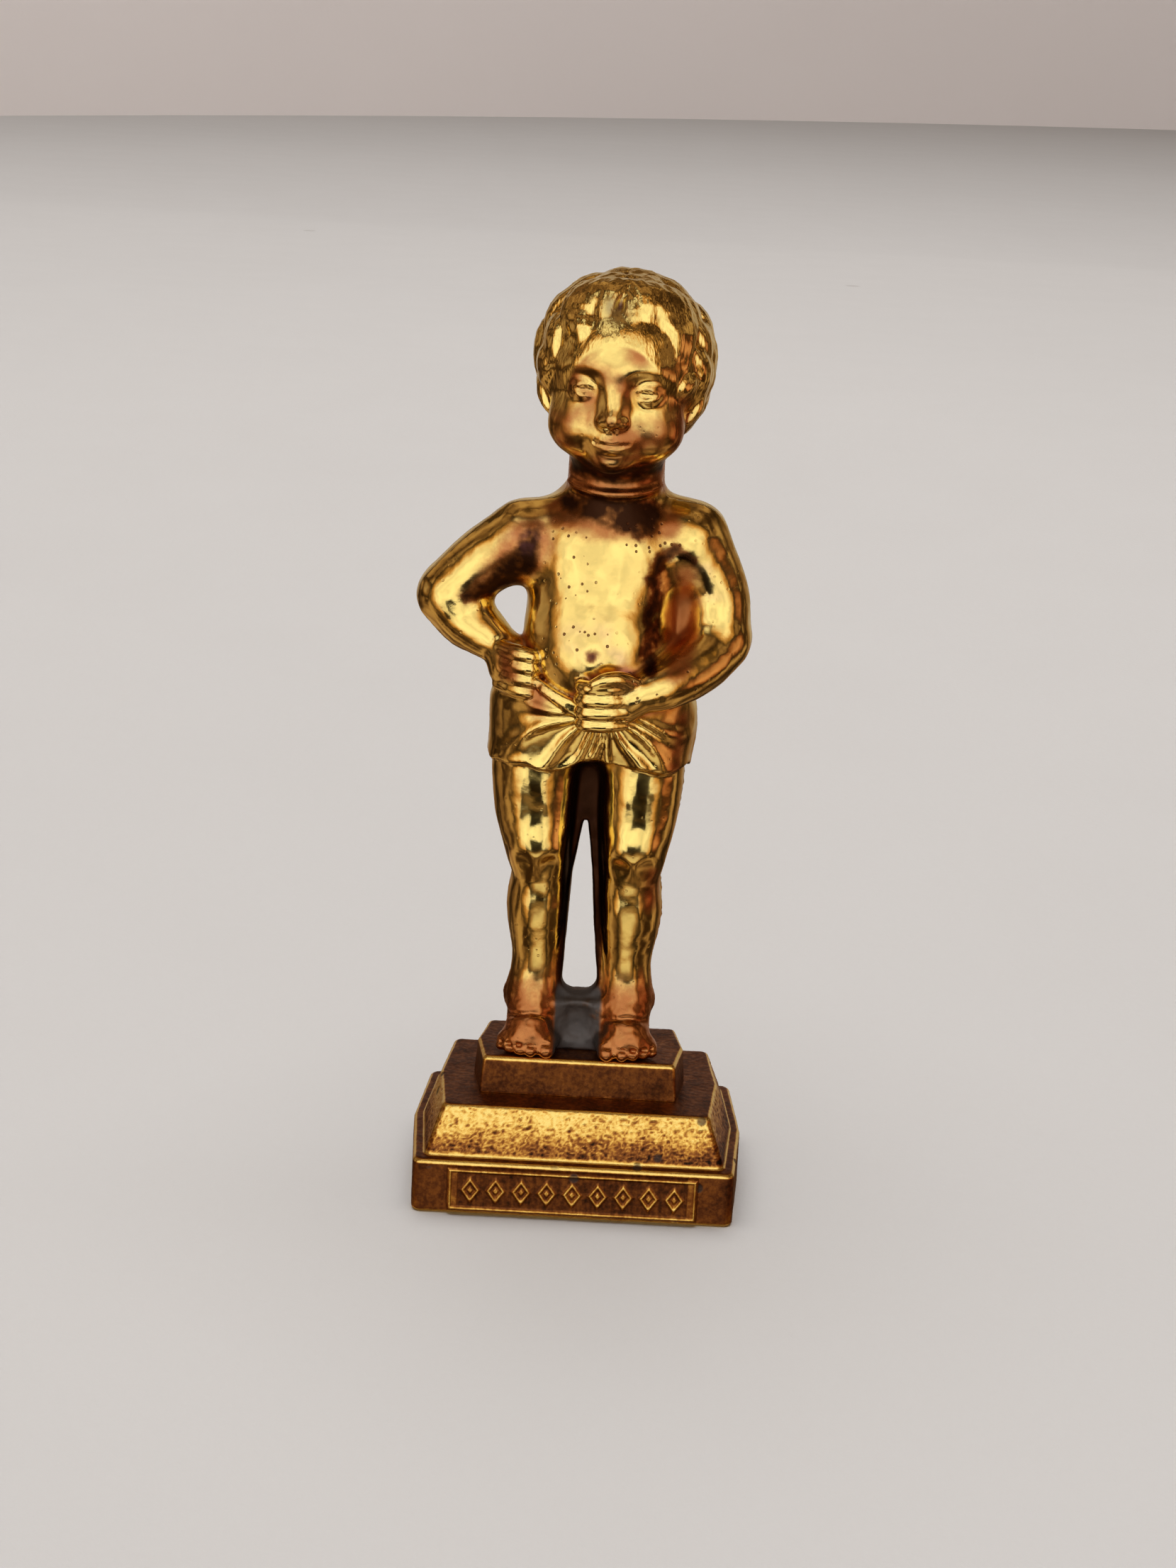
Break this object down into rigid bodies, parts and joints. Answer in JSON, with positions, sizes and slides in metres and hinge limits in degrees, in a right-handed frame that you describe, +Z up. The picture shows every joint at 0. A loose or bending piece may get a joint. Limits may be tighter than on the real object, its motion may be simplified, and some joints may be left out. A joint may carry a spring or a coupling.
{
  "type": "souvenir figurine",
  "caption": "Small cast metal child figure in a hip cloth, hand on hip, standing on a block and a stepped plinth with a blank name panel.",
  "frame": {"origin": "centre of the plinth's underside, on the surface that the figurine stands on", "axes": "+Z up, -Y is the figure's front, +X to the right when the figure's front is faced"},
  "size_m": [0.0328, 0.022, 0.087],
  "materials": {
    "figure_plating": "bright brass plating, lacquered, copper toned in the hollows, with fine dark pitting",
    "plinth_plating": "satin brass plating with a fine leathery casting grain",
    "steel": "bright zinc plated",
    "felt": "pressed wool felt"
  },
  "bodies": {
    "root": {"figure_front": "figure_plating", "figure_back": "figure_plating", "shell_pins": "steel", "foot_pins": "steel", "top_block": "plinth_plating", "plinth": "plinth_plating", "name_panel": "plinth_plating", "locating_dowels": "steel", "tie_screw": "steel", "tie_washer": "steel", "base_felt": "felt"}
  },
  "joints": []
}
